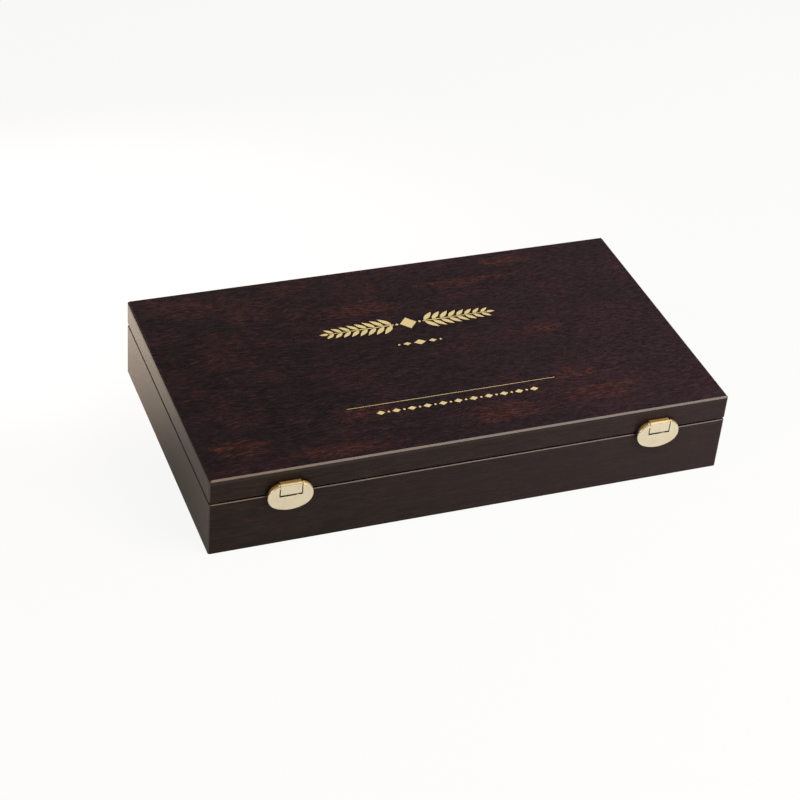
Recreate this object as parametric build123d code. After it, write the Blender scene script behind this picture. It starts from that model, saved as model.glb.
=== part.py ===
from build123d import *
from math import cos, radians, sin, tan
import os

# Wooden presentation case for watercolour pencils, in millimetres.
# X runs along the front, the front faces -Y, and Z is up. The origin is the
# middle of the underside of the base.

# Case
case_width = 405.0
case_depth = 232.0
case_height = 66.0
wall = 8.0
corner_radius = 1.6
base_height = 44.55
parting_gap = 0.85
floor_thickness = 4.0
floor_rabbet = 4.0
top_thickness = 4.0
top_chamfer = 1.2
lid_rim_chamfer = 1.2
base_rim_chamfer = 0.5

# Rear hinges and the bevels that stop the lid
lid_opening = 105.0
hinge_offset = 120.0
hinge_length = 30.0
barrel_radius = 2.0
barrel_relief = 0.2
hinge_pin_radius = 0.9
hinge_pin_clearance = 0.05
knuckle_count = 3
knuckle_clearance = 0.1
leaf_width = 5.3
leaf_thickness = 0.8
leaf_gap = 0.1
mortise_clearance = 0.05
bevel_clearance = 0.15

# Brass latches: a strap bent over the pin, an oval lever and a keeper. Their heights
# are given above or below the base's rim.
latch_offset = 144.2
latch_centre_rise = 0.5
lever_half_width = 17.3
lever_half_height = 12.3
lever_end_radius = 10.6
lever_stand = 5.3
lever_back_stand = 3.2
lever_thickness = 0.9
lever_rim_width = 1.5
lever_edge_chamfer = 1.2
notch_width = 17.4
notch_floor_rise = 1.35
ear_lobe_radius = 1.5
strap_width = 15.8
strap_thickness = 0.75
strap_top_rise = 11.95
strap_bottom_rise = 3.45
tab_bottom_rise = 2.65
wing_width = 26.0
wing_height = 4.0
wing_corner_radius = 1.5
latch_pin_radius = 1.0
latch_pin_clearance = 0.05
ear_bore_clearance = 0.02
pin_lug_width = 10.0
pin_lug_thickness = 0.7
pin_lug_reach = 3.9
lip_width = 10.0
lip_height = 0.7
lip_stand = 1.0
keeper_width = 18.0
keeper_height = 8.6
keeper_thickness = 0.5
keeper_top_drop = 1.05
keeper_ridge_height = 0.8
keeper_ridge_stand = 0.35

# Felt pads that the closed lid rests on
pad_size = 5.0
pad_thickness = 0.75

# Lining under the lid
lining_thickness = 4.5
lining_clearance = 0.3

# Pencils, in two layers with their points to the back
pencil_spacing = 1.59
pencil_length = 176.0
pencil_flats = 7.2
core_radius = 1.7
core_tip_radius = 0.35
point_length = 22.0
groove_clearance = 0.15
groove_end_clearance = 1.0

# Grooved boards, the ledges that carry the tray, and the tray
insert_thickness = 18.0
insert_clearance = 0.2
trough_centre = -52.0
trough_width = 24.0
trough_depth = 10.0
trough_slope = 3.0
ledge_thickness = 4.5
ledge_height = 25.0
tray_clearance = 0.5
tray_floor_thickness = 3.0
tray_rail_thickness = 4.0
tray_headroom = 1.5
scoop_radius = 26.0
scoop_depth = 7.0

half_width = case_width / 2
half_depth = case_depth / 2
inner_half_width = half_width - wall
inner_half_depth = half_depth - wall
lid_bottom = base_height + parting_gap
top_panel_bottom = case_height - top_thickness
hinge_height = base_height + parting_gap / 2
hinge_inset = barrel_radius + barrel_relief
hinge_y = half_depth - hinge_inset
tray_bottom = floor_thickness + ledge_height
upper_insert_bottom = tray_bottom + tray_floor_thickness
insert_half_width = inner_half_width - ledge_thickness - insert_clearance
insert_half_depth = inner_half_depth - ledge_thickness - insert_clearance
over = 1.0

latch_centre_height = base_height + latch_centre_rise
notch_floor_height = base_height + notch_floor_rise
strap_top_height = base_height + strap_top_rise
strap_bottom_height = base_height + strap_bottom_rise
tab_bottom_height = base_height + tab_bottom_rise
keeper_top_height = base_height - keeper_top_drop

os.makedirs("parts", exist_ok=True)
pieces = {}


def block(x0, x1, y0, y1, z0, z1):
    """A box between two corners."""
    return Pos((x0 + x1) / 2, (y0 + y1) / 2, (z0 + z1) / 2) * Box(x1 - x0, y1 - y0, z1 - z0)


def bar_along_x(radius, length, x, y, z):
    """A round bar along X with its middle at the given point."""
    return Pos(x, y, z) * Rot(0, 90, 0) * Cylinder(radius, length)


def side_profile(points, width, x=0.0):
    """A closed outline of (y, z) points, given a width along X about x."""
    outline = Polyline(*[(0, y, z) for y, z in points], close=True)
    return Pos(x, 0, 0) * extrude(make_face(outline), width / 2, dir=(1, 0, 0), both=True)


def rounded_blank(bottom, top):
    """The whole case between two heights, with rounded upright corners."""
    blank = block(-half_width, half_width, -half_depth, half_depth, bottom, top)
    return fillet(blank.edges().filter_by(Axis.Z), corner_radius)


def mitred_side(frame, half_length, half_span, thickness, turn):
    """One side of a mitred frame, the front one before the turn about Z."""
    outer_x = half_length + over
    outer_y = half_span + over
    inner_x = half_length - thickness - over
    inner_y = half_span - thickness - over
    corners = [(-outer_x, -outer_y), (outer_x, -outer_y), (inner_x, -inner_y), (-inner_x, -inner_y)]
    wedge = extrude(make_face(Polyline(*corners, close=True)), case_height + over)
    return frame & (Rot(0, 0, turn) * wedge)


def four_sides(frame, half_x, half_y, thickness):
    """Front, right, back and left sides of a frame."""
    return {
        "front": mitred_side(frame, half_x, half_y, thickness, 0),
        "right": mitred_side(frame, half_y, half_x, thickness, 90),
        "back": mitred_side(frame, half_x, half_y, thickness, 180),
        "left": mitred_side(frame, half_y, half_x, thickness, 270),
    }


# Rear edge: both parts are bevelled out from the hinge axis, so that the open lid
# leans on the base.
bevel_slope = tan(radians(lid_opening / 2))
bevel_drop = bevel_clearance / cos(radians(lid_opening / 2))
bevel_run = hinge_inset + over


def rear_bevel(side):
    """What the bevel takes off the base (side -1) or the lid (side 1)."""
    outline = [
        (hinge_y, hinge_height + side * bevel_drop),
        (hinge_y + bevel_run, hinge_height + side * (bevel_drop + bevel_run * bevel_slope)),
        (hinge_y + bevel_run, hinge_height - side * over),
        (hinge_y, hinge_height - side * over),
    ]
    return side_profile(outline, case_width + 2 * over)


# Hinge leaves, made about the axis and placed at each hinge
knuckle_length = hinge_length / knuckle_count


def knuckles(first, radius, spare):
    """Every second knuckle of the barrel, starting with the given one."""
    rounds = []
    for index in range(first, knuckle_count, 2):
        middle = (index + 0.5) * knuckle_length - hinge_length / 2
        rounds.append(bar_along_x(radius, knuckle_length + spare, middle, 0, 0))
    return rounds


def hinge_leaf(side):
    """The leaf on the base (side -1) or on the lid (side 1), about the hinge axis."""
    near = side * leaf_gap / 2
    far = side * (leaf_gap / 2 + leaf_thickness)
    leaf = block(-hinge_length / 2, hinge_length / 2, -leaf_width, 0, min(near, far), max(near, far))
    own = 0 if side < 0 else 1
    leaf = leaf - knuckles(1 - own, barrel_radius + knuckle_clearance, knuckle_clearance)
    leaf = leaf + knuckles(own, barrel_radius, -knuckle_clearance)
    bore = bar_along_x(hinge_pin_radius + hinge_pin_clearance, hinge_length + over, 0, 0, 0)
    return leaf - bore


hinge_spots = {
    "left": Pos(-hinge_offset, hinge_y, hinge_height),
    "right": Pos(hinge_offset, hinge_y, hinge_height),
}


def hinge_cuts(side):
    """Mortise and barrel relief that one wall gets for both hinges."""
    cuts = []
    long = hinge_length / 2 + mortise_clearance
    near = -side * over
    far = side * (leaf_gap / 2 + leaf_thickness)
    mortise = block(-long, long, -leaf_width - mortise_clearance, 0, min(near, far), max(near, far))
    relief = bar_along_x(barrel_radius + barrel_relief, 2 * long, 0, 0, 0)
    for spot in hinge_spots.values():
        cuts.append(spot * mortise)
        cuts.append(spot * relief)
    return cuts


# Latches, made at the middle of the front and placed to each side. A stand is a
# distance out from the front face.
latch_spots = {"left": Pos(-latch_offset, 0, 0), "right": Pos(latch_offset, 0, 0)}
bend_radius = latch_pin_radius + latch_pin_clearance + strap_thickness
latch_pin_height = strap_top_height - bend_radius
latch_pin_stand = lever_stand - bend_radius
latch_pin_y = -half_depth - latch_pin_stand
ear_outer = notch_width / 2 + lever_thickness


def standing(x0, x1, stand0, stand1, z0, z1):
    """A block on the front face, given by how far it stands out."""
    return block(x0, x1, -half_depth - stand1, -half_depth - stand0, z0, z1)


# The lever's outline is an oval of four arcs that meet smoothly: two ends and two
# long sides.
end_shift = lever_half_width - lever_end_radius
side_radius = (end_shift**2 + lever_half_height**2 - lever_end_radius**2) / (
    2 * (lever_half_height - lever_end_radius)
)
side_shift = side_radius - lever_half_height


def oval(inset, stand0, stand1):
    """An oval slab on the front face, its outline drawn in by the inset."""
    half_width = lever_half_width - inset
    half_height = lever_half_height - inset
    reach = (side_radius - inset) / (side_radius - lever_end_radius)
    meet_x = end_shift * reach
    meet_z = side_shift * (reach - 1)
    right = ThreePointArc((meet_x, -meet_z), (half_width, 0), (meet_x, meet_z))
    top = ThreePointArc((meet_x, meet_z), (0, half_height), (-meet_x, meet_z))
    left = ThreePointArc((-meet_x, meet_z), (-half_width, 0), (-meet_x, -meet_z))
    foot = ThreePointArc((-meet_x, -meet_z), (0, -half_height), (meet_x, -meet_z))
    plane = Plane(origin=(0, -half_depth - stand0, latch_centre_height), x_dir=(1, 0, 0), z_dir=(0, -1, 0))
    return extrude(plane * make_face(right + top + left + foot), stand1 - stand0)


def latch_lever():
    """The oval cover: a hollow-backed plate, two ears on the pin and a lip behind its foot."""
    outer = oval(0, lip_stand, lever_stand)
    front_edge = outer.faces().sort_by(Axis.Y)[0].edges()
    outer = chamfer(front_edge, lever_edge_chamfer)
    top = latch_centre_height + lever_half_height
    foot = latch_centre_height - lever_half_height
    plate = outer - oval(lever_rim_width, lip_stand - over, lever_stand - lever_thickness)
    plate = plate - standing(-lever_half_width, lever_half_width, 0, lever_back_stand, foot - over, top + over)
    lip_bottom = foot + lever_rim_width / 2
    lip_top = foot + lever_rim_width + lip_height
    half_lip = lip_width / 2
    lip = outer & standing(-half_lip, half_lip, lip_stand, lever_stand, lip_bottom, lip_top)
    ears = []
    for side in (-1, 1):
        near, far = sorted((side * notch_width / 2, side * ear_outer))
        ears.append(outer & standing(near, far, lever_back_stand, lever_stand, notch_floor_height, top))
        middle = side * (notch_width + lever_thickness) / 2
        ears.append(bar_along_x(ear_lobe_radius, lever_thickness, middle, latch_pin_y, latch_pin_height))
    half_notch = notch_width / 2
    notch = standing(-half_notch, half_notch, 0, lever_stand + over, notch_floor_height, top + over)
    bore_radius = latch_pin_radius + ear_bore_clearance
    bore = bar_along_x(bore_radius, 2 * ear_outer + over, 0, latch_pin_y, latch_pin_height)
    return plate + lip + ears - notch - bore


def latch_pin():
    """The pin that is fast in the lever's ears."""
    return bar_along_x(latch_pin_radius, 2 * ear_outer, 0, latch_pin_y, latch_pin_height)


def latch_strap():
    """One pressing on the lid: wings under the lever, a bend over the pin, and the tab."""
    back = -half_depth
    front = back - lever_stand
    outline = Polyline(
        (0, back, strap_bottom_height),
        (0, back, strap_top_height),
        (0, front, strap_top_height),
        (0, front, tab_bottom_height),
        (0, front + strap_thickness, tab_bottom_height),
        (0, front + strap_thickness, strap_top_height - strap_thickness),
        (0, back - strap_thickness, strap_top_height - strap_thickness),
        (0, back - strap_thickness, strap_bottom_height),
        close=True,
    )
    strap = extrude(make_face(outline), strap_width / 2, dir=(1, 0, 0), both=True)
    inner_bends = strap.edges().filter_by(Axis.X).group_by(Axis.Z)[-2]
    strap = fillet(inner_bends, bend_radius - strap_thickness)
    outer_bends = strap.edges().filter_by(Axis.X).group_by(Axis.Z)[-1]
    strap = fillet(outer_bends, bend_radius)
    half_wing = wing_width / 2
    wing_top = strap_bottom_height + wing_height
    wings = standing(-half_wing, half_wing, 0, strap_thickness, strap_bottom_height, wing_top)
    wings = fillet(wings.edges().filter_by(Axis.Y), wing_corner_radius)
    lug_top = latch_pin_height - latch_pin_radius - latch_pin_clearance
    half_lug = pin_lug_width / 2
    lug = standing(-half_lug, half_lug, 0, pin_lug_reach, lug_top - pin_lug_thickness, lug_top)
    return strap + wings + lug


def keeper():
    """The plate on the base that the lever's lip closes under."""
    bottom = keeper_top_height - keeper_height
    half = keeper_width / 2
    plate = standing(-half, half, 0, keeper_thickness, bottom, keeper_top_height)
    plate = fillet(plate.edges().filter_by(Axis.Y), wing_corner_radius)
    half_ridge = lip_width / 2
    ridge_bottom = bottom + keeper_ridge_height / 2
    ridge_top = ridge_bottom + keeper_ridge_height
    ridge_front = keeper_thickness + keeper_ridge_stand
    ridge = standing(-half_ridge, half_ridge, 0, ridge_front, ridge_bottom, ridge_top)
    return plate + ridge


# Base: four mitred walls with a bottom panel let in flush
base_frame = rounded_blank(0, base_height)
base_frame = chamfer(base_frame.faces().sort_by(Axis.Z)[-1].edges(), base_rim_chamfer)
base_frame = base_frame - block(
    -inner_half_width, inner_half_width, -inner_half_depth, inner_half_depth, -over, base_height + over
)
panel_x = half_width - floor_rabbet
panel_y = half_depth - floor_rabbet
bottom_panel = block(-panel_x, panel_x, -panel_y, panel_y, 0, floor_thickness)
base_frame = base_frame - bottom_panel - rear_bevel(-1) - hinge_cuts(-1)
for side, shape in four_sides(base_frame, half_width, half_depth, wall).items():
    pieces[f"base_{side}_wall"] = shape
pieces["base_bottom_panel"] = bottom_panel

pad_x = half_width - wall / 2
pad_y = -half_depth + wall / 2
pieces["rim_felt_pads"] = [
    Pos(x, pad_y, base_height + pad_thickness / 2) * Box(pad_size, pad_size, pad_thickness)
    for x in (-pad_x, pad_x)
]

# Lid: four mitred rails under a full top panel, with a lining board inside
lid_frame = rounded_blank(lid_bottom, top_panel_bottom)
lid_frame = chamfer(lid_frame.faces().sort_by(Axis.Z)[0].edges(), lid_rim_chamfer)
lid_frame = lid_frame - block(
    -inner_half_width, inner_half_width, -inner_half_depth, inner_half_depth, lid_bottom - over, case_height
)
lid_frame = lid_frame - rear_bevel(1) - hinge_cuts(1)
for side, shape in four_sides(lid_frame, half_width, half_depth, wall).items():
    pieces[f"lid_{side}_rail"] = shape
top_panel = rounded_blank(top_panel_bottom, case_height)
pieces["lid_top_panel"] = chamfer(top_panel.faces().sort_by(Axis.Z)[-1].edges(), top_chamfer)

lining_x = inner_half_width - lining_clearance
lining_y = inner_half_depth - lining_clearance
lining_bottom = top_panel_bottom - lining_thickness
pieces["lid_lining_board"] = block(-lining_x, lining_x, -lining_y, lining_y, lining_bottom, top_panel_bottom)

# Hinges
hinge_pin = bar_along_x(hinge_pin_radius, hinge_length, 0, 0, 0)
for name, spot in hinge_spots.items():
    pieces[f"hinge_base_leaf_{name}"] = spot * hinge_leaf(-1)
    pieces[f"hinge_lid_leaf_{name}"] = spot * hinge_leaf(1)
    pieces[f"hinge_pin_{name}"] = spot * hinge_pin

# Latches
for name, spot in latch_spots.items():
    pieces[f"latch_strap_{name}"] = spot * latch_strap()
    pieces[f"latch_lever_{name}"] = spot * latch_lever()
    pieces[f"latch_pin_{name}"] = spot * latch_pin()
    pieces[f"latch_keeper_{name}"] = spot * keeper()

# Ledges inside the base that carry the lift-out tray
ledge_frame = block(
    -inner_half_width, inner_half_width, -inner_half_depth, inner_half_depth, floor_thickness, tray_bottom
)
ledge_x = inner_half_width - ledge_thickness
ledge_y = inner_half_depth - ledge_thickness
ledge_frame = ledge_frame - block(-ledge_x, ledge_x, -ledge_y, ledge_y, 0, case_height)
for side, shape in four_sides(ledge_frame, inner_half_width, inner_half_depth, ledge_thickness).items():
    pieces[f"tray_ledge_{side}"] = shape

# Lift-out tray: a floor board and four mitred rails that stand above the base's rim
tray_half_width = inner_half_width - tray_clearance
tray_half_depth = inner_half_depth - tray_clearance
rail_top = lining_bottom - tray_headroom
pieces["tray_floor_board"] = block(
    -tray_half_width, tray_half_width, -tray_half_depth, tray_half_depth, tray_bottom, upper_insert_bottom
)
tray_frame = block(
    -tray_half_width, tray_half_width, -tray_half_depth, tray_half_depth, upper_insert_bottom, rail_top
)
tray_inner_x = tray_half_width - tray_rail_thickness
tray_inner_y = tray_half_depth - tray_rail_thickness
tray_frame = tray_frame - block(-tray_inner_x, tray_inner_x, -tray_inner_y, tray_inner_y, 0, case_height)
tray_frame = tray_frame - bar_along_x(scoop_radius, case_width, 0, 0, rail_top + scoop_radius - scoop_depth)
for side, shape in four_sides(tray_frame, tray_half_width, tray_half_depth, tray_rail_thickness).items():
    pieces[f"tray_{side}_rail"] = shape

# Pencils and the grooved boards that they lie in
pencil_corner = pencil_flats / 2 / cos(radians(30))
pencil_pitch = 2 * pencil_corner + pencil_spacing
pencil_count = int(2 * insert_half_width / pencil_pitch)
row_places = [(index - (pencil_count - 1) / 2) * pencil_pitch for index in range(pencil_count)]
point_rise = (pencil_corner - core_tip_radius) / point_length
point_start = pencil_length / 2 - point_length
core_shoulder = pencil_length / 2 - (core_radius - core_tip_radius) / point_rise
along_y = Plane(origin=(0, 0, 0), x_dir=(1, 0, 0), z_dir=(0, 1, 0))


def sharpened_pencil():
    """A six-sided pencil along Y, its back end cut to a point with a flat over each side."""
    tip = pencil_length / 2
    hexagon = RegularPolygon(pencil_flats / 2, 6, major_radius=False)
    pencil = extrude(along_y.offset(-tip) * hexagon, pencil_length)
    for index in range(6):
        turn = radians(30 + index * 60)
        out = Vector(cos(turn), 0, sin(turn))
        touch = out * core_tip_radius + Vector(0, tip, 0)
        cut = Plane(origin=touch, z_dir=out + Vector(0, point_rise, 0))
        pencil = split(pencil, bisect_by=cut, keep=Keep.BOTTOM)
    return pencil


def grooved_board(bottom):
    """A board with a groove for each pencil and a trough for the fingers."""
    top = bottom + insert_thickness
    board = block(-insert_half_width, insert_half_width, -insert_half_depth, insert_half_depth, bottom, top)
    groove_length = pencil_length + 2 * groove_end_clearance
    start = along_y.offset(-groove_length / 2)
    hexagon = RegularPolygon(pencil_flats / 2 + groove_clearance, 6, major_radius=False)
    board = board - [extrude(start * Pos(x, -top, 0) * hexagon, groove_length) for x in row_places]
    reach = row_places[-1] + pencil_corner + groove_clearance
    half = trough_width / 2
    outline = [
        (trough_centre - half, top + over),
        (trough_centre - half, top),
        (trough_centre - half + trough_slope, top - trough_depth),
        (trough_centre + half - trough_slope, top - trough_depth),
        (trough_centre + half, top),
        (trough_centre + half, top + over),
    ]
    return board - side_profile(outline, 2 * reach)


pencil_shape = sharpened_pencil()
shoulder = along_y.offset(core_shoulder)
casing_shape = split(pencil_shape, bisect_by=shoulder, keep=Keep.BOTTOM)
core_shape = split(pencil_shape, bisect_by=shoulder, keep=Keep.TOP)
for layer, bottom in (("lower", floor_thickness), ("upper", upper_insert_bottom)):
    pieces[f"{layer}_grooved_board"] = grooved_board(bottom)
    axis_height = bottom + insert_thickness
    pieces[f"{layer}_pencil_casings"] = [Pos(x, 0, axis_height) * casing_shape for x in row_places]
    pieces[f"{layer}_pencil_cores"] = [Pos(x, 0, axis_height) * core_shape for x in row_places]

for name, shape in pieces.items():
    if isinstance(shape, list):
        shape = Compound(children=shape)
    export_step(shape, f"parts/{name}.step")
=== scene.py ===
import bmesh
import bpy
from math import atan2, copysign, cos, pi, radians, sin
from mathutils import Matrix, Quaternion, Vector


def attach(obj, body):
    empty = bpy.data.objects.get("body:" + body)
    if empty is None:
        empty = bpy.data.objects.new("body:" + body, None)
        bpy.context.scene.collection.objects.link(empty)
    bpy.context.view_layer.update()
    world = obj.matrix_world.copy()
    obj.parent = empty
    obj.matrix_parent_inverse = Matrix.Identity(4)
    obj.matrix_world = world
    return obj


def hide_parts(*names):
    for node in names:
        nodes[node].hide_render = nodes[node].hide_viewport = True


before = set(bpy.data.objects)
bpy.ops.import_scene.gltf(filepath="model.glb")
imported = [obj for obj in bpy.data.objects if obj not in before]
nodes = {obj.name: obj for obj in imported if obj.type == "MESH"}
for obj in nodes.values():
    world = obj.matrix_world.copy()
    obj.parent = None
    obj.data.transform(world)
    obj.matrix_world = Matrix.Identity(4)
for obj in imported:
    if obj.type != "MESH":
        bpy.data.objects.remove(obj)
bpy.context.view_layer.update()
mm = 0.001


# Base of the case: four mitred walls of fine-pored hardwood with a bottom panel let
# into a rabbet. Everything is stained almost black, with red-brown streaks where the
# stain took less, and sealed with a thin satin lacquer.
class Socket:
    """One output of a node in a finish. Arithmetic on it adds Math nodes."""

    def __init__(self, finish, output):
        self.finish = finish
        self.output = output

    def __add__(self, other):
        return self.finish.math("ADD", self, other)

    def __sub__(self, other):
        return self.finish.math("SUBTRACT", self, other)

    def __rsub__(self, other):
        return self.finish.math("SUBTRACT", other, self)

    def __mul__(self, other):
        return self.finish.math("MULTIPLY", self, other)

    def __truediv__(self, other):
        return self.finish.math("DIVIDE", self, other)

    def __gt__(self, other):
        return self.finish.math("GREATER_THAN", self, other)

    def __lt__(self, other):
        return self.finish.math("LESS_THAN", self, other)

    __radd__ = __add__
    __rmul__ = __mul__


class Finish:
    """A material that starts from a plain Principled shader with the given sockets set."""

    def __init__(self, name, **sockets):
        self.material = bpy.data.materials.new(name)
        self.material.use_nodes = True
        self.tree = self.material.node_tree
        self.shader = self.tree.nodes["Principled BSDF"]
        for socket, value in sockets.items():
            self.shader.inputs[socket.replace("_", " ")].default_value = value

    def connect(self, target, value):
        if isinstance(value, Socket):
            self.tree.links.new(value.output, target)
        else:
            target.default_value = value

    def node(self, kind, settings, inputs, output=0):
        """Any node: its settings first, then the values or links of its sockets."""
        node = self.tree.nodes.new("ShaderNode" + kind)
        for name, value in settings.items():
            if name == "stops":
                ramp = node.color_ramp
                while len(ramp.elements) < len(value):
                    ramp.elements.new(1)
                for element, (position, colour) in zip(ramp.elements, value):
                    element.position = position
                    element.color = (*colour, 1)
            else:
                setattr(node, name, value)
        for key, value in inputs.items():
            self.connect(node.inputs[key], value)
        return Socket(self, node.outputs[output])

    def math(self, operation, *values):
        return self.node("Math", {"operation": operation}, dict(enumerate(values)))

    def place(self, across=(1, 1, 1)):
        """The point on the piece in millimetres, divided by a length for each axis."""
        point = self.node("TexCoord", {}, {}, "Object")
        scale = [1 / (mm * length) for length in across]
        return self.node("VectorMath", {"operation": "MULTIPLY"}, {0: point, 1: scale})

    def noise(self, across, detail=2, roughness=0.5, shift=0, sway=None):
        """Smooth noise from 0 to 1 whose lumps are about this long on each axis.

        Its lines can sway along Y by a length in millimetres that varies.
        """
        point = self.place(across)
        if sway is not None:
            wave = self.node("CombineXYZ", {}, {"Y": sway / across[1]})
            point = self.node("VectorMath", {"operation": "ADD"}, {0: point, 1: wave})
        if shift:
            point = self.node("VectorMath", {"operation": "ADD"}, {0: point, 1: (shift, shift, shift)})
        inputs = {"Vector": point, "Scale": 1, "Detail": detail, "Roughness": roughness}
        return self.node("TexNoise", {}, inputs, "Fac")

    def axis(self, name):
        """One coordinate of the point, in millimetres."""
        return self.node("SeparateXYZ", {}, {"Vector": self.place()}, name)

    def step(self, value, low, high):
        """0 below the low value, 1 above the high one, smooth between."""
        inputs = {"Value": value, "From Min": low, "From Max": high}
        return self.node("MapRange", {"interpolation_type": "SMOOTHSTEP"}, inputs)

    def mix(self, factor, low, high, blend="MIX"):
        """A colour between two others."""
        low, high = (c if isinstance(c, Socket) else (*c, 1) for c in (low, high))
        settings = {"data_type": "RGBA", "blend_type": blend}
        return self.node("Mix", settings, {0: factor, 6: low, 7: high}, 2)

    def bump(self, height, distance, strength=1.0):
        """Feeds a height, in shares of the distance in millimetres, to the shader's normal."""
        inputs = {"Height": height, "Distance": distance * mm, "Strength": strength}
        self.set("Normal", self.node("Bump", {}, inputs))

    def set(self, socket, value):
        self.connect(self.shader.inputs[socket], value)


def tone(code):
    """The linear colour for a six-digit paint code."""
    shares = [int(code[i:i + 2], 16) / 255 for i in (0, 2, 4)]
    return tuple(s / 12.92 if s < 0.04045 else ((s + 0.055) / 1.055) ** 2.4 for s in shares)


def paint(finish, *names):
    """Gives whole nodes of the frame one finish."""
    for name in names:
        mesh = nodes[name].data
        mesh.materials.clear()
        mesh.materials.append(finish.material)


def lie(along, slow, fast):
    """Lengths for a grain that runs slowly along one axis and fast across it."""
    return [slow if axis == along else fast for axis in "XYZ"]


hair_tone = tone("1a1412")
painted_light_tone = tone("47333a")
flame_tone = tone("7f4434")
speckle_tone = (0.2, 0.17, 0.2)
pore_tone = tone("0a0808")
panel_side_tone = tone("2b201b")
rubbed_and_highlight_tone = tone("745d49")
knot_height = 25


def stained_wood(name, along, gloss, flecks, tones, painted_light=0.0, figure=()):
    """The dark case wood, its grain along X or Y, its front and back edges painted paler:
    partly rubbed wear, partly a painted highlight.

    Painted light: the colour pales toward the right, and a little toward the front, by the
    given share, standing in for the brighter light there. Figured wood has a grain that
    wavers, flames at the given places, each with its centre, length and depth, a knot's
    arched rings at its left, and plain sides.
    """
    wood = Finish(name, Specular_IOR_Level=gloss, Coat_Roughness=0.3)
    sway = (wood.noise((60, 50, 60), 1, shift=21) - 0.5) * 20 if figure else None
    clouds = wood.noise(lie(along, 38, 26), 4, 0.6)
    band = wood.noise(lie(along, 90, 6), 3, 0.6, shift=7)
    streaks = wood.noise(lie(along, 10, 1.2), 5, 0.68, sway=sway)
    hairs = wood.noise(lie(along, 18, 1.2), 4, 0.65, shift=3, sway=sway)
    pores = wood.noise(lie(along, 3.0, 0.3), 1, shift=11)
    speckle = wood.noise(lie(along, 4.5, 0.95), 3, 0.75, shift=15, sway=sway)
    patch = wood.step(clouds * 0.75 + band * 0.25, 0.4, 0.64)
    ground = wood.mix(0.15 + patch * (0.2 + flecks), tone(tones[0]), tone(tones[1]))
    ground = wood.mix(wood.step(hairs, 0.42, 0.58) * (0.6 + flecks), ground, hair_tone, "SCREEN")
    fleck = wood.step(streaks, 0.52, 0.68) * (0.3 + patch * 0.6)
    x, y = wood.axis("X"), wood.axis("Y")
    if figure:
        flames = 0
        for centre_x, centre_y, length, depth in figure:
            u = (x - centre_x) / length
            v = (y - centre_y) / depth
            spot = 1 - wood.step(u * u + v * v + (band - 0.5) * 3.5 + (hairs - 0.5), 0, 1.3)
            flames = wood.math("MAXIMUM", flames, spot)
        fleck = wood.math("MAXIMUM", fleck, wood.step(streaks, 0.46, 0.58) * flames)
        ripple = wood.noise((22, 9, 22), 4, 0.65, shift=5) * 30
        above = y - knot_height
        rings = wood.math("COSINE", (x + above * above * 0.3 + ripple) * 0.4)
        near = (1 - wood.step(wood.math("ABSOLUTE", above), 4, 22)) * (1 - wood.step(x, -165, -135))
        fleck = wood.math("MAXIMUM", fleck, wood.step(rings, 0.6, 1.0) * near * hairs * 0.6)
    # Painted light: toward the right and the front the colour is mixed toward a paler tone, where the light
    # is brighter.
    painted_light_share = wood.step(x - y * 0.2, -200, 260)
    ground = wood.mix(painted_light_share * painted_light, ground, painted_light_tone)
    ground = wood.mix(fleck * flecks, ground, flame_tone)
    ground = wood.mix(wood.step(speckle, 0.4, 0.6) * (1.3 * flecks), ground, speckle_tone, "MULTIPLY")
    pore = wood.step(pores, 0.6, 0.72)
    ground = wood.mix(pore * 0.6, ground, pore_tone)
    facing = wood.node("TexCoord", {}, {}, "Normal")
    across, depth, up = (
        wood.math("ABSOLUTE", wood.node("SeparateXYZ", {}, {"Vector": facing}, name)) for name in "XYZ"
    )
    if figure:
        ground = wood.mix(wood.step(up, 0.2, 0.6), panel_side_tone, ground)
    # Painted highlight and wear: chamfers and rounded corners that face front or back are painted paler and
    # get more coat, partly rubbed stain, partly the light these edges catch; edges facing left or right stay
    # dark.
    slant = wood.step(up * (1 - up) * 4 + across * depth * (1 - up), 0.35, 0.8)
    edge = slant * wood.step(depth, 0.3, 0.6)
    rubbed_and_highlight = edge * (0.72 - 0.25 * painted_light_share + 0.5 * (clouds - 0.5) + 0.3 * (streaks - 0.5))
    wood.set("Base Color", wood.mix(rubbed_and_highlight, ground, rubbed_and_highlight_tone))
    wood.set("Coat Weight", edge * 0.7)
    wood.set("Roughness", 0.3 + streaks * 0.08 + pore * 0.12)
    wood.bump(0.6 * hairs - pore, 0.05, 0.4)
    return wood


case_wood_x = stained_wood("case_wood_x", "X", gloss=0.16, flecks=0.12, tones=("120d0a", "25160f"), painted_light=0.3)
# Painted light: the end walls get tones a shade lighter than the front and back walls, standing in for the
# light on the left side.
case_wood_y_painted_lighter = stained_wood("case_wood_y_painted_lighter", "Y", gloss=0.5, flecks=0.12, tones=("1c140e", "2c1b14"))
paint(case_wood_x, "base_front_wall", "base_back_wall", "base_bottom_panel")
paint(case_wood_y_painted_lighter, "base_left_wall", "base_right_wall")


# Felt pads: two small squares stuck on the base's front corners, so that the lid
# closes softly.
felt = Finish("felt", Roughness=0.95, Sheen_Weight=0.3, Sheen_Roughness=0.5)
felt_tone = tone("191718")
fibres = felt.noise((0.25, 0.25, 0.25), 4, 0.7)
tufts = felt.noise((1.6, 1.6, 1.6), 2)
shade = felt.mix(felt.step(tufts, 0.3, 0.7), felt_tone, (0, 0, 0))
felt.set("Base Color", felt.mix(0.6 * fibres, shade, felt_tone, "SCREEN"))
felt.bump(fibres, 0.12)
paint(felt, "rim_felt_pads")


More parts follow.
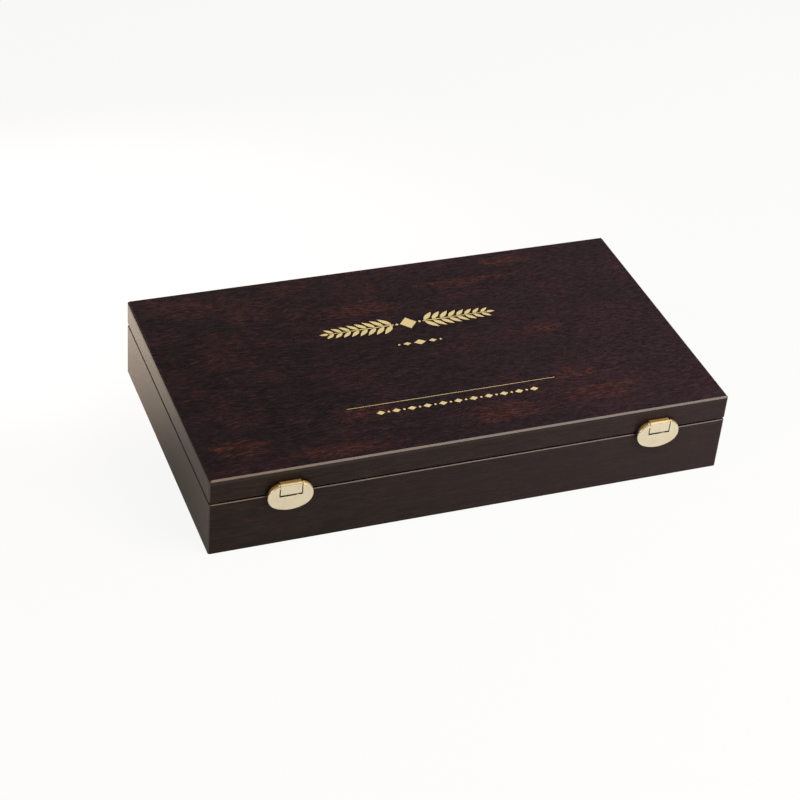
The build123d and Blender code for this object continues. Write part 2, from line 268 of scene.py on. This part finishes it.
# Ledges in the base that carry the tray: slips of pale beech, mitred and glued to
# the walls, waxed and otherwise left raw.
def pale_wood(name, along):
    """Clear-waxed beech with its short dark flecks."""
    wood = Finish(name, Specular_IOR_Level=0.3)
    growth = wood.noise(lie(along, 90, 4), 3, 0.6)
    fibre = wood.noise(lie(along, 14, 0.35), 3, 0.6, shift=5)
    ray = wood.noise(lie(along, 1.7, 0.3), 1, shift=9)
    ground = wood.mix(wood.step(growth, 0.3, 0.7), tone("c99b6b"), tone("dcb488"))
    ground = wood.mix(wood.step(fibre, 0.35, 0.7) * 0.35, ground, tone("b98552"))
    fleck = wood.step(ray, 0.62, 0.72)
    wood.set("Base Color", wood.mix(fleck * 0.6, ground, tone("8a5a34")))
    wood.set("Roughness", 0.5 + fibre * 0.12)
    wood.bump(fibre - fleck, 0.04, 0.6)
    return wood


pale_wood_x = pale_wood("inner_wood_x", "X")
pale_wood_y = pale_wood("inner_wood_y", "Y")
paint(pale_wood_x, "tray_ledge_front", "tray_ledge_back")
paint(pale_wood_y, "tray_ledge_left", "tray_ledge_right")


# Lift-out tray: a floor board and four mitred beech rails, scooped at the ends for
# the fingers, that stand a little above the base's rim.
paint(pale_wood_x, "tray_floor_board", "tray_front_rail", "tray_back_rail")
paint(pale_wood_y, "tray_left_rail", "tray_right_rail")


# Grooved boards, one in the base and one in the tray: moulded boards with a groove
# for each pencil and a finger trough, flocked all over in charcoal.
flock = Finish("flocked_board", Roughness=1.0, Sheen_Weight=0.5, Sheen_Roughness=0.4)
pile = flock.noise((0.14, 0.14, 0.14), 3, 0.7)
brushed = flock.noise((22, 9, 9), 3)
nap = flock.mix(flock.step(brushed, 0.35, 0.7), tone("1d1b1d"), tone("2b282a"))
flock.set("Base Color", flock.mix(pile * 0.5, nap, tone("3a3638"), "SCREEN"))
flock.bump(pile, 0.15)
paint(flock, "lower_grooved_board", "upper_grooved_board")


# Pencils, 38 to a layer in the order of the rainbow: six-sided cedar casings in the
# colour of their core, dipped at the end behind a fine gold ring, and sharpened.
pencil_count = 38
pencil_spacing = 1.59
pencil_length = 176.0
pencil_flats = 7.2
pencil_corners = pencil_flats / cos(radians(30))
pencil_pitch = pencil_corners + pencil_spacing
core_radius = 1.7
core_tip_radius = 0.35
point_length = 22.0
upper_axis_height = 50.0
gold_ring_from = -80.9
gold_ring_to = -79.0
pencil_hues = (
    "f3eee0", "f6e27a", "f7cf1d", "f39a1e", "e4571f", "cf2029", "a8153a", "d8598c", "8e3a86",
    "4b2f87", "27398f", "1d62b4", "3c9fd0", "1b9c9c", "178055", "4fa03a", "9bb53a", "7d7a2c",
    "c08a2e", "a0532a", "6b3620", "44291f", "8d8f93", "4c5157", "1a1a1c",
)


def pencil_colour(finish):
    """The hue for the pencil that the point lies on, by its place in the row."""
    place = finish.math("FLOOR", finish.axis("X") / pencil_pitch + pencil_count / 2)
    spaced = [(i / (len(pencil_hues) - 1), tone(hue)) for i, hue in enumerate(pencil_hues)]
    return finish.node("ValToRGB", {"stops": spaced}, {"Fac": place / (pencil_count - 1)})


lacquer = Finish("pencil_lacquer", Roughness=0.28, Coat_Weight=0.6, Coat_Roughness=0.12)
drips = lacquer.noise((6, 2, 6), 2)
ring = (lacquer.axis("Y") > gold_ring_from) * (lacquer.axis("Y") < gold_ring_to)
lacquer.set("Base Color", lacquer.mix(ring, pencil_colour(lacquer), tone("d9b25a")))
lacquer.set("Metallic", ring * 0.4)
lacquer.set("Roughness", 0.24 + drips * 0.1)
lacquer.bump(drips, 0.05, 0.3)

cedar = Finish("pencil_wood", Specular_IOR_Level=0.25)
fibre = cedar.noise((0.5, 7, 0.5), 3, 0.6)
cut = cedar.noise((2.5, 1.2, 2.5), 2)
cedar_tone = cedar.mix(cedar.step(fibre, 0.3, 0.7), tone("c98f62"), tone("e0b088"))
cedar.set("Base Color", cedar_tone)
cedar.set("Roughness", 0.6 + fibre * 0.1)
cedar.bump(fibre * 0.5 + cut, 0.08, 0.5)

core = Finish("pencil_core", Roughness=0.5, Specular_IOR_Level=0.4)
grit = core.noise((0.3, 0.5, 0.3), 2)
core.set("Base Color", core.mix(grit * 0.25, pencil_colour(core), (0, 0, 0)))
core.bump(grit, 0.04)

paint(lacquer, "lower_pencil_casings")
paint(core, "lower_pencil_cores")


def as_mesh(name, shape):
    """A mesh in metres, its faces turned outward, from a closed bmesh made in millimetres."""
    bmesh.ops.recalc_face_normals(shape, faces=shape.faces)
    if shape.calc_volume(signed=True) < 0:
        bmesh.ops.reverse_faces(shape, faces=shape.faces)
    shape.transform(Matrix.Scale(mm, 4))
    mesh = bpy.data.meshes.new(name)
    shape.to_mesh(mesh)
    shape.free()
    return mesh


def add_object(name, data):
    """Puts a mesh, a light or a camera in the scene."""
    thing = bpy.data.objects.new(name, data)
    bpy.context.scene.collection.objects.link(thing)
    return thing


def new_piece(name, shape, slot, body, *finishes):
    """Turns a bmesh made in millimetres into a piece that rides on a body."""
    mesh = as_mesh(name, shape)
    for finish in finishes:
        mesh.materials.append(finish.material)
    piece = add_object(name, mesh)
    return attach(piece, body)


def smooth_shade(piece, angle=35):
    """Rounds the shading over shallow edges and keeps the sharp ones."""
    for face in piece.data.polygons:
        face.use_smooth = True
    piece.data.set_sharp_from_angle(angle=radians(angle))


def skin_rings(shape, rings, bands=None, close=True):
    """Quads between rings of points with equal counts, with flat ends if closed.

    The bands say which of the piece's finishes is on each row of quads and on the last end.
    """
    bands = bands or [0] * len(rings)
    rows = [[shape.verts.new(point) for point in ring] for ring in rings]
    for level, (low, high) in enumerate(zip(rows, rows[1:])):
        for i in range(len(low)):
            j = (i + 1) % len(low)
            face = shape.faces.new((low[i], low[j], high[j], high[i]))
            face.material_index = bands[level]
    if close:
        shape.faces.new(rows[0]).material_index = bands[0]
        shape.faces.new(rows[-1]).material_index = bands[-1]


ring_points = 60
corner_share = 1.125
tip = pencil_length / 2
point_rise = (pencil_corners / 2 - core_tip_radius) / point_length


def hexagon_reach(turn):
    """How far a casing with slightly rounded corners reaches in one direction."""
    off_flat = (turn + pi / 6) % (pi / 3) - pi / 6
    return min(pencil_flats / 2 / cos(off_flat), pencil_flats / 2 * corner_share)


def cone_place(reach):
    """How far along the pencil the sharpener's cone has this radius."""
    return tip - (reach - core_tip_radius) / point_rise


turns = [2 * pi * (i + 0.5) / ring_points for i in range(ring_points)]
reaches = [hexagon_reach(turn + pi / 6) for turn in turns]
end_rounding = 0.9
end_centre_radius = 1.9
bare_cone_radius = core_radius + 0.9
lacquer_band, cedar_band, core_band = 0, 1, 2
pencil_bands = [lacquer_band] * 5 + [cedar_band] * 2 + [core_band] * 3


def pencil_ring(centre_x, radius_of, place_of):
    """A ring of points round one pencil, each at its own place along it."""
    ring = []
    for turn, reach in zip(turns, reaches):
        x = centre_x + radius_of(reach) * cos(turn)
        z = upper_axis_height + radius_of(reach) * sin(turn)
        ring.append((x, place_of(reach), z))
    return ring


upper_pencils = bmesh.new()
for number in range(pencil_count):
    x = (number - (pencil_count - 1) / 2) * pencil_pitch
    rings = [
        pencil_ring(x, lambda r: end_centre_radius, lambda r: -tip),
        pencil_ring(x, lambda r: r - end_rounding, lambda r: -tip),
        pencil_ring(x, lambda r: r - 0.3, lambda r: -tip + 0.25),
        pencil_ring(x, lambda r: r, lambda r: -tip + end_rounding),
        pencil_ring(x, lambda r: r, lambda r: tip - point_length - 2),
        pencil_ring(x, lambda r: r, cone_place),
        pencil_ring(x, lambda r: bare_cone_radius, lambda r: cone_place(bare_cone_radius)),
        pencil_ring(x, lambda r: core_radius, lambda r: cone_place(core_radius)),
        pencil_ring(x, lambda r: core_tip_radius + 0.15, lambda r: tip - 0.9),
        pencil_ring(x, lambda r: core_tip_radius * 0.6, lambda r: tip),
    ]
    skin_rings(upper_pencils, rings, pencil_bands)
pencils = new_piece("upper_pencils", upper_pencils, "pencil_lacquer", "base", lacquer, cedar, core)
smooth_shade(pencils, 28)
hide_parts("upper_pencil_casings", "upper_pencil_cores")


# Lid: four mitred rails under a full top panel, stained and lacquered with the base
# and sawn from the same box, so that the grain runs on across the parting line.
lid_figure = (
    (112, -83, 34, 13), (98, -58, 20, 8), (35, -92, 36, 13), (108, 102, 30, 8), (-29, 62, 34, 9),
    (-72, -66, 24, 12), (-100, -104, 40, 8), (-172, -84, 26, 10), (97, 3, 20, 8), (60, 80, 40, 8),
)
lid_tones = ("191418", "311d22")
lid_wood = stained_wood("lid_wood", "X", gloss=0.2, flecks=0.6, tones=lid_tones, painted_light=0.58, figure=lid_figure)
paint(lid_wood, "lid_top_panel")
paint(case_wood_x, "lid_front_rail", "lid_back_rail")
paint(case_wood_y_painted_lighter, "lid_left_rail", "lid_right_rail")


# Lining under the lid: a thin board between the rails, covered with plain-woven ivory
# cloth that is glued on.
lining = Finish("lining_cloth", Roughness=0.85, Sheen_Weight=0.2, Specular_IOR_Level=0.2)
thread = 0.7
warp = lining.math("SINE", lining.axis("X") * (2 * pi / thread))
weft = lining.math("SINE", lining.axis("Y") * (2 * pi / thread))
weave = lining.math("MAXIMUM", warp, weft) * 0.5 + 0.5
slub = lining.noise((9, 0.7, 3), 3, 0.6) * 0.5 + lining.noise((0.7, 9, 3), 3, 0.6) * 0.5
ivory = lining.mix(lining.step(slub, 0.4, 0.62), tone("cbbfa4"), tone("e2d8c2"))
# Painted shade: the cloth is painted darker in the hollows between its threads.
lining.set("Base Color", lining.mix(0.35 - weave * 0.35, ivory, tone("8f836b")))
lining.bump(weave + slub * 0.6, 0.12, 0.7)
paint(lining, "lid_lining_board")


# Hinges: two brass butts, their leaves let into the rear walls and screwed down with
# slotted countersunk screws, on a pin of the same brass.
painted_up_shade_from = 49.0


def brass(name, code, roughness, brush, painted_up_shade=0):
    """Lacquered brass with fine lines from the polishing brush, and a painted shade where it faces up: a
    deeper gold, and more roughness.
    """
    metal = Finish(name, Metallic=1.0)
    lines = metal.noise((30, 0.12, 0.12), 3, 0.6)
    haze = metal.noise((7, 7, 7), 3)
    warm = metal.mix(metal.step(haze, 0.4, 0.7) * 0.12, tone(code), tone("c9a35c"))
    colour = metal.mix(lines * 0.06, warm, tone("8a6a2c"))
    painted_shade_and_dull = 0
    # Painted shade: above a height, faces that look up get a deeper gold, standing in for the dark room they
    # mirror, and more roughness.
    if painted_up_shade:
        above = metal.axis("Z") > painted_up_shade_from
        facing = metal.node("TexCoord", {}, {}, "Normal")
        up = metal.node("SeparateXYZ", {}, {"Vector": facing}, "Z")
        painted_shade_and_dull = metal.step(up, 0.25, 0.8) * above * painted_up_shade
        colour = metal.mix(painted_shade_and_dull * 1.8, colour, tone("cda95a"))
    metal.set("Base Color", colour)
    metal.set("Roughness", roughness + haze * 0.08 + lines * brush + painted_shade_and_dull)
    metal.bump(lines, 0.01, brush * 4)
    return metal


hinge_brass = brass("hinge_brass", "d9bb78", roughness=0.26, brush=0.1)
latch_brass = brass("latch_brass", "f1ead1", roughness=0.13, brush=0.03, painted_up_shade=0.45)
for side in ("left", "right"):
    paint(hinge_brass, f"hinge_base_leaf_{side}", f"hinge_lid_leaf_{side}", f"hinge_pin_{side}")


def turned(shape, profile, centre, axis, count=32):
    """A round head on a face: rings of (radius, height) about an axis from a centre."""
    facing = Vector(axis).to_track_quat("Z", "Y")
    turns = [2 * pi * i / count for i in range(count)]
    rings = []
    for radius, height in profile:
        ring = [Vector((radius * cos(turn), radius * sin(turn), height)) for turn in turns]
        rings.append([Vector(centre) + facing @ point for point in ring])
    skin_rings(shape, rings)


screw_radius = 1.2
slot_share = 0.14
slot_floor = -0.28
arc_steps = 16


def slotted_screw(shape, centre, axis, turn):
    """A countersunk head a hair proud of the face, in two halves beside its slot."""
    facing = Vector(axis).to_track_quat("Z", "Y") @ Quaternion((0, 0, 1), turn)
    half_slot = screw_radius * slot_share
    start = atan2(half_slot, screw_radius)
    turned(shape, [(screw_radius, slot_floor), (screw_radius, slot_floor + 0.02)], centre, axis)
    for side in (-1, 1):
        arc = [start + (pi - 2 * start) * i / arc_steps for i in range(arc_steps + 1)]
        half = [(screw_radius * cos(angle), side * screw_radius * sin(angle)) for angle in arc]
        rings = []
        for share, height in ((0.9, 0.07), (0.99, 0.03), (1.0, 0.0), (1.0, slot_floor)):
            ring = [Vector((x * share, y * share, height)) for x, y in half]
            rings.append([Vector(centre) + facing @ point for point in ring])
        skin_rings(shape, rings)


hinge_offset = 120
screw_offset = 9
screw_row = 110.1
screw_sink = 0.02
for body, leaf_face, facing in (("base", 44.925, 1), ("lid", 45.025, -1)):
    screws = bmesh.new()
    for hinge_x in (-hinge_offset, hinge_offset):
        for index, offset in enumerate((-screw_offset, screw_offset)):
            centre = (hinge_x + offset, screw_row, leaf_face - screw_sink * facing)
            slot_turn = 0.5 + hinge_x * 0.01 + 0.9 * index
            slotted_screw(screws, centre, (0, 0, facing), slot_turn)
    screw_heads = new_piece(f"hinge_screws_{body}", screws, "hinge_brass", body, hinge_brass)
    smooth_shade(screw_heads)


# Latch straps on the lid: one brass pressing each, with wings nailed to the rail
# under the lever, a bend over the lever's pin, and a tab that fills the notch.
latch_offset = 144.2
latch_places = {"left": -latch_offset, "right": latch_offset}
nail_profile = [(1.0, 0), (0.96, 0.18), (0.7, 0.4), (0.3, 0.5), (0.02, 0.51)]


def nail_pairs(name, body, offset, face, height):
    """Two dome-headed nails through the same plate of each latch."""
    heads = bmesh.new()
    for latch_x in latch_places.values():
        for nail_x in (latch_x - offset, latch_x + offset):
            turned(heads, nail_profile, (nail_x, face, height), (0, -1, 0), 24)
    smooth_shade(new_piece(name, heads, "latch_brass", body, latch_brass))


nail_pairs("latch_strap_nails", "lid", offset=11.2, face=-116.74, height=50)
paint(latch_brass, "latch_strap_left", "latch_strap_right")


# Keeper plates on the base: a strip of the same brass behind each lever, held by two
# nails, with a ridge that the lever's lip closes under.
nail_pairs("latch_keeper_nails", "base", offset=5.5, face=-116.49, height=40.3)
paint(latch_brass, "latch_keeper_left", "latch_keeper_right")


# Latch levers: oval covers drawn from brass sheet and polished, with a rounded edge
# and a hollow back. Each is notched for the tab, and has two ears that are fast on its
# pin and a lip behind its foot that closes under the keeper.
front_face = -116.0
lever_centre = 45.05
lever_half_width = 17.3
lever_half_height = 12.3
lever_end_radius = 10.6
lever_stand = 5.3
lever_back_stand = 1.9
lever_round_width = 1.2
lever_round_depth = 2.0
lever_thickness = 0.9
lever_crown = 0.12
hollow_inset = 0.8
hollow_round_width = 0.7
hollow_round_depth = 1.1
back_edge_inset = 0.1
outline_points = 144
round_steps = 8
end_shift = lever_half_width - lever_end_radius
side_radius = (end_shift**2 + lever_half_height**2 - lever_end_radius**2) / (
    2 * (lever_half_height - lever_end_radius)
)
side_shift = side_radius - lever_half_height
arcs_meet = atan2(side_shift, end_shift)


def oval_ring(centre_x, inset, stand, share=1.0):
    """The lever's outline of four arcs, drawn in by the inset, at one stand."""
    ring = []
    for i in range(outline_points):
        turn = 2 * pi * (i + 0.5) / outline_points
        if abs(cos(turn)) > cos(arcs_meet):
            x = copysign(end_shift, cos(turn)) + (lever_end_radius - inset) * cos(turn)
            z = (lever_end_radius - inset) * sin(turn)
        else:
            x = (side_radius - inset) * cos(turn)
            z = (side_radius - inset) * sin(turn) - copysign(side_shift, sin(turn))
        ring.append((centre_x + x * share, front_face - stand, lever_centre + z * share))
    return ring


def rounded(inset, width, depth, front):
    """Insets and stands over a quarter of an ellipse that ends flat on the front."""
    quarter = [pi / 2 * i / round_steps for i in range(round_steps + 1)]
    return [(inset + width * (1 - cos(turn)), front - depth * (1 - sin(turn))) for turn in quarter]


def lever_cover(centre_x):
    """The drawn oval sheet, from the middle of its back over its rim to its front."""
    shape = bmesh.new()
    hollow_front = lever_stand - lever_thickness
    hollow_round = rounded(hollow_inset, hollow_round_width, hollow_round_depth, hollow_front)
    outer_round = rounded(0.0, lever_round_width, lever_round_depth, lever_stand)
    inside = [(hollow_inset, lever_back_stand), *hollow_round]
    outside = [(back_edge_inset, lever_back_stand), *outer_round]
    shares = (0.04, 0.35, 0.65, 0.85, 0.95)
    rings = [oval_ring(centre_x, hollow_inset + hollow_round_width, hollow_front, share) for share in shares]
    rings += [oval_ring(centre_x, inset, stand) for inset, stand in reversed(inside)]
    rings += [oval_ring(centre_x, inset, stand) for inset, stand in outside]
    for share in reversed(shares):
        crowned = lever_stand + lever_crown * (1 - share**2)
        rings.append(oval_ring(centre_x, lever_round_width, crowned, share))
    skin_rings(shape, rings)
    return shape


pin_stand = 3.5
pin_height = 54.7
bore_radius = 1.02
ear_radius = 1.5
ear_front = 4.6
ear_back = 3.2
ear_above_pin = 0.4
ear_foot = 46.2
ear_points = 96


def lever_ear(shape, near_x, far_x):
    """A plate behind the cover with a round end about the pin's bore."""
    sides = (
        (1, 0, ear_front - pin_stand),
        (-1, 0, pin_stand - ear_back),
        (0, 1, ear_above_pin),
        (0, -1, pin_height - ear_foot),
    )
    outline = []
    bore = []
    for i in range(ear_points):
        turn = 2 * pi * i / ear_points
        u, v = cos(turn), sin(turn)
        exits = [gap / (a * u + b * v) for a, b, gap in sides if a * u + b * v > 1e-6]
        reach = max(ear_radius, min(exits))
        outline.append((pin_stand + reach * u, pin_height + reach * v))
        bore.append((pin_stand + bore_radius * u, pin_height + bore_radius * v))
    loops = []
    for x, loop in ((near_x, bore), (near_x, outline), (far_x, outline), (far_x, bore), (near_x, bore)):
        loops.append([(x, front_face - stand, z) for stand, z in loop])
    skin_rings(shape, loops, close=False)


def extruded(shape, profile, x0, x1):
    """A bar along X whose section is given as (stand, height) points."""
    skin_rings(shape, [[(x, front_face - stand, z) for stand, z in profile] for x in (x0, x1)])


lip = [(4.5, 33.6), (1.2, 33.6), (1.0, 33.8), (1.0, 34.7), (1.2, 34.9), (1.6, 34.9), (1.9, 34.5), (4.5, 34.5)]
lip_half = 5
notch_half = 8.7
notch_foot = 45.9
notch = [(0.5, notch_foot), (8, notch_foot), (8, 70), (0.5, 70)]
ear_far_side = 9.6
for side, latch_x in latch_places.items():
    shape = lever_cover(latch_x)
    cover = new_piece(f"latch_cover_{side}", shape, "latch_brass", f"latch_{side}", latch_brass)
    punch = bmesh.new()
    extruded(punch, notch, latch_x - notch_half, latch_x + notch_half)
    cutter = add_object("notch", as_mesh("notch", punch))
    cut = cover.modifiers.new("notch", "BOOLEAN")
    cut.operation = "DIFFERENCE"
    cut.object = cutter
    cut.solver = "EXACT"
    notched = cover.evaluated_get(bpy.context.evaluated_depsgraph_get())
    cut_mesh = bpy.data.meshes.new_from_object(notched)
    cover.modifiers.clear()
    bpy.data.objects.remove(cutter)
    behind = bmesh.new()
    lever_ear(behind, latch_x - ear_far_side, latch_x - notch_half)
    lever_ear(behind, latch_x + notch_half, latch_x + ear_far_side)
    extruded(behind, lip, latch_x - lip_half, latch_x + lip_half)
    lever = bmesh.new()
    lever.from_mesh(cut_mesh)
    lever.from_mesh(as_mesh("behind", behind))
    lever.to_mesh(cover.data)
    lever.free()
    smooth_shade(cover, 32)
    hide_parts(f"latch_lever_{side}")
    paint(latch_brass, f"latch_pin_{side}")
    smooth_shade(nodes[f"latch_strap_{side}"])


# Ornament on the lid, pressed in gold foil: a spray of leaves on each side of a
# lozenge, a few lozenges under it, and a long rule above a row of lozenges and beads.
foil = Finish("gold_foil", Metallic=0.02, Roughness=0.45)
speckle = foil.noise((0.5, 0.5, 0.5), 3, 0.6)
foil.set("Base Color", foil.mix(foil.step(speckle, 0.3, 0.7), tone("f4dc97"), tone("fde8ab")))
foil.bump(speckle, 0.02, 0.5)
lid_top = 66.0
foil_thickness = 0.04
spray_height = 35.0
leaf_pairs = 8
stem_reach = 66
small_row_height = 8.5
rule_half_length = 83
rule_low = -60.2
rule_high = -59.8
bead_row_height = -70
bead_row_reach = 10
bead_spacing = 6.1
bead_row_centre = 1


def press(shape, outline):
    """One flat piece of foil on the lid from its outline of (x, y) points."""
    levels = (lid_top, lid_top + foil_thickness)
    skin_rings(shape, [[(x, y, z) for x, y in outline] for z in levels])


def lozenge(shape, x, y, half_width, half_height):
    press(shape, [(x - half_width, y), (x, y - half_height), (x + half_width, y), (x, y + half_height)])


def bead(shape, x, y, radius):
    press(shape, [(x + radius * cos(pi * i / 10), y + radius * sin(pi * i / 10)) for i in range(20)])


def leaf(shape, x, y, angle, length, half_width):
    """A pointed leaf that grows from a point in one direction."""
    along = [i / 12 for i in range(13)]
    swell = [half_width * sin(pi * share**0.8) for share in along]
    upper = [(length * share, wide) for share, wide in zip(along, swell)]
    lower = [(length * share, -wide) for share, wide in zip(along, swell)][1:-1]
    outline = []
    for u, v in upper + lower[::-1]:
        outline.append((x + u * cos(angle) - v * sin(angle), y + u * sin(angle) + v * cos(angle)))
    press(shape, outline)


ornament = bmesh.new()
lozenge(ornament, 0, spray_height, 6.8, 7.4)
for side in (-1, 1):
    bead(ornament, 9.4 * side, spray_height, 1.1)
    stem = [(12, -0.5), (stem_reach, -0.3), (stem_reach, 0.3), (12, 0.5)]
    press(ornament, [(x * side, spray_height + y) for x, y in stem])
    for index in range(leaf_pairs):
        share = index / (leaf_pairs - 1)
        root = 13.5 + 6.8 * index
        reach = 13.0 - 4.6 * share
        half_width = 2.05 - 0.6 * share
        for lean in (-1, 1):
            angle = lean * radians(46 - 10 * share)
            if side < 0:
                angle = pi - angle
            leaf(ornament, root * side, spray_height + 0.8 * lean, angle, reach, half_width)
    leaf(ornament, (stem_reach - 1) * side, spray_height, 0 if side > 0 else pi, 7.5, 1.3)
lozenge(ornament, 0, small_row_height, 5.0, 3.2)
for side in (-1, 1):
    lozenge(ornament, 10.5 * side, small_row_height, 3.2, 2.0)
    bead(ornament, 17.0 * side, small_row_height, 0.9)
rule_ends = (-rule_half_length, rule_half_length)
press(ornament, [(x, rule_low) for x in rule_ends] + [(x, rule_high) for x in rule_ends[::-1]])
for index in range(-bead_row_reach, bead_row_reach + 1):
    x = bead_spacing * index + bead_row_centre
    if index % 2:
        bead(ornament, x, bead_row_height, 0.95)
    else:
        lozenge(ornament, x, bead_row_height, 3.4, 2.3)
new_piece("lid_ornament", ornament, "latch_brass", "lid", foil)


# The table and the light: a pale floor that reads white to the camera, a large soft
# key and a second soft light from the front right, a small warm fill from the left, a
# warm spot on the left wall's rear end, and the camera.
table = Finish("floor", Roughness=0.9, Specular_IOR_Level=0.0)
table.set("Base Color", (0.92, 0.89, 0.84, 1))
glow = table.node("Emission", {}, {"Color": (1, 1, 1, 1), "Strength": 1.0})
seen = table.node("LightPath", {}, {}, "Is Camera Ray")
mirrored = table.node("LightPath", {}, {}, "Is Glossy Ray")
through = table.node("LightPath", {}, {}, "Is Transmission Ray")
whiteness = seen * 0.9 + mirrored * 0.05 + through * 0.05
lit = Socket(table, table.shader.outputs[0])
mixed = table.node("MixShader", {}, {0: whiteness, 1: lit, 2: glow})
table.connect(table.tree.nodes["Material Output"].inputs["Surface"], mixed)
floor_reach = 4
corners = [(-floor_reach, -floor_reach, 0), (floor_reach, -floor_reach, 0)]
corners += [(floor_reach, floor_reach, 0), (-floor_reach, floor_reach, 0)]
mesh = bpy.data.meshes.new("floor")
mesh.from_pydata(corners, [], [(0, 1, 2, 3)])
mesh.materials.append(table.material)
add_object("floor", mesh)

room_light = (0.163, 0.16, 0.153, 1)
world = bpy.data.worlds.new("world")
bpy.context.scene.world = world
world.use_nodes = True
world.node_tree.nodes["Background"].inputs["Color"].default_value = room_light


def hang(light, place, aim, power, colour):
    """Hangs a light at a place, facing the point it is aimed at."""
    light.energy = power
    light.color = colour
    lamp = add_object(light.name, light)
    lamp.location = place
    lamp.rotation_mode = "QUATERNION"
    lamp.rotation_quaternion = (Vector(place) - Vector(aim)).to_track_quat("Z", "Y")


def softbox(name, place, aim, wide, high, power, colour=(1, 1, 1)):
    """A soft rectangular light."""
    light = bpy.data.lights.new(name, "AREA")
    light.shape = "RECTANGLE"
    light.size = wide
    light.size_y = high
    hang(light, place, aim, power, colour)


warm = (1.0, 0.94, 0.86)
amber = (1.0, 0.81, 0.64)
sunny = (1.0, 0.85, 0.71)
softbox("key", (0.9, -0.75, 1.1), aim=(0, 0, 0.03), wide=1.4, high=1.4, power=18.5)
softbox("front", (0.51, -0.94, 1.19), aim=(0, 0, 0.06), wide=2.2, high=1.2, power=8, colour=warm)
softbox("left", (-0.9, -0.5, 0.4), aim=(-0.1, 0, 0.03), wide=0.4, high=0.4, power=2.5, colour=amber)

rear = bpy.data.lights.new("rear", "SPOT")
rear.spot_size = radians(34)
rear.spot_blend = 1.0
rear.shadow_soft_size = 0.04
hang(rear, (-0.95, 0.35, 0.55), aim=(-0.26, 0.28, 0), power=92, colour=sunny)

camera = bpy.data.cameras.new("camera")
camera.lens = 95.28
camera.sensor_width = 36
viewer = add_object("camera", camera)
viewer.location = (-0.53736, -1.21742, 0.98392)
ahead = Vector((0.318288, 0.743107, -0.588629))
roll = radians(5.242)
viewer.rotation_mode = "QUATERNION"
viewer.rotation_quaternion = ahead.to_track_quat("-Z", "Y") @ Quaternion((0, 0, 1), roll)
bpy.context.scene.camera = viewer
bpy.context.scene.view_settings.view_transform = "Standard"
